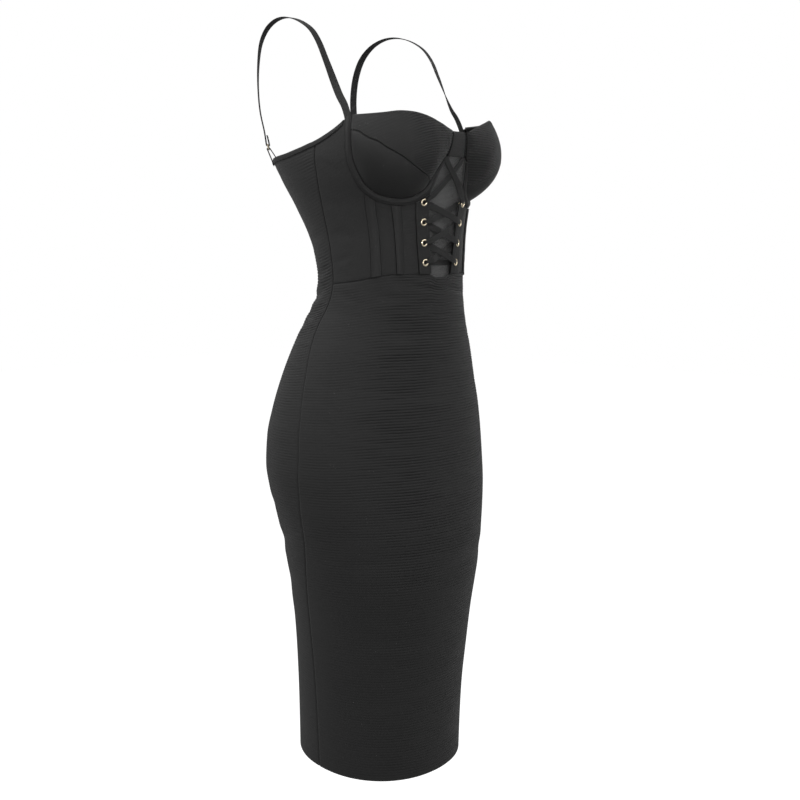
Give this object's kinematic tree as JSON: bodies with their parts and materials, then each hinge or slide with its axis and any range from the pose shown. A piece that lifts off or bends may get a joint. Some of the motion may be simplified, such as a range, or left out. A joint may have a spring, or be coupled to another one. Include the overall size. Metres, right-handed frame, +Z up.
{
  "type": "bodycon dress",
  "caption": "Fitted black rib-knit midi dress with padded cups, boned bodice, laced front opening, thin shoulder straps and a back zip.",
  "frame": {"origin": "midway between the crests of the two shoulder straps, where the wearer holds the dress up", "axes": "+Z up, -Y out of the front, +X to the wearer's left"},
  "size_m": [0.3468, 0.3009, 1.0611],
  "materials": {
    "rib_knit": "matte black stretch knit with fine level ribs",
    "smooth_knit": "smooth matte black stretch cloth",
    "sheer_net": "fine sheer grey net",
    "tape": "flat black woven tape with a slight sheen",
    "gold": "polished light gold"
  },
  "bodies": {
    "dress": {"front_skirt": "rib_knit", "right_back_panel": "rib_knit", "left_back_panel": "rib_knit", "right_side_front_panel": "rib_knit", "left_side_front_panel": "rib_knit", "right_front_panel": "rib_knit", "left_front_panel": "rib_knit", "right_centre_front_panel": "rib_knit", "left_centre_front_panel": "rib_knit", "right_side_bone_channel": "smooth_knit", "left_side_bone_channel": "smooth_knit", "right_front_bone_channel": "smooth_knit", "left_front_bone_channel": "smooth_knit", "right_eyelet_placket": "smooth_knit", "left_eyelet_placket": "smooth_knit", "right_lower_cup": "smooth_knit", "left_lower_cup": "smooth_knit", "right_upper_cup": "rib_knit", "left_upper_cup": "rib_knit", "right_underwire_casing": "smooth_knit", "left_underwire_casing": "smooth_knit", "centre_bridge": "rib_knit", "sheer_panel": "sheer_net", "right_top_binding": "smooth_knit", "left_top_binding": "smooth_knit", "right_strap": "tape", "left_strap": "tape", "right_strap_ring": "gold", "left_strap_ring": "gold", "right_strap_tab": "tape", "left_strap_tab": "tape", "right_eyelet_1": "gold", "right_eyelet_2": "gold", "right_eyelet_3": "gold", "right_eyelet_4": "gold", "left_eyelet_1": "gold", "left_eyelet_2": "gold", "left_eyelet_3": "gold", "left_eyelet_4": "gold", "lace": "tape", "zip_tape": "tape", "zip_teeth": "gold", "zip_slider": "gold"},
    "pull_tab": {"zip_pull_tab": "gold"}
  },
  "joints": [
    {"name": "zip_pull_swing", "type": "hinge", "parent": "dress", "child": "pull_tab", "pos_m": [0, 0.06368, -0.21362], "axis": [1, 0, 0], "range_deg": [-25, 110]}
  ]
}
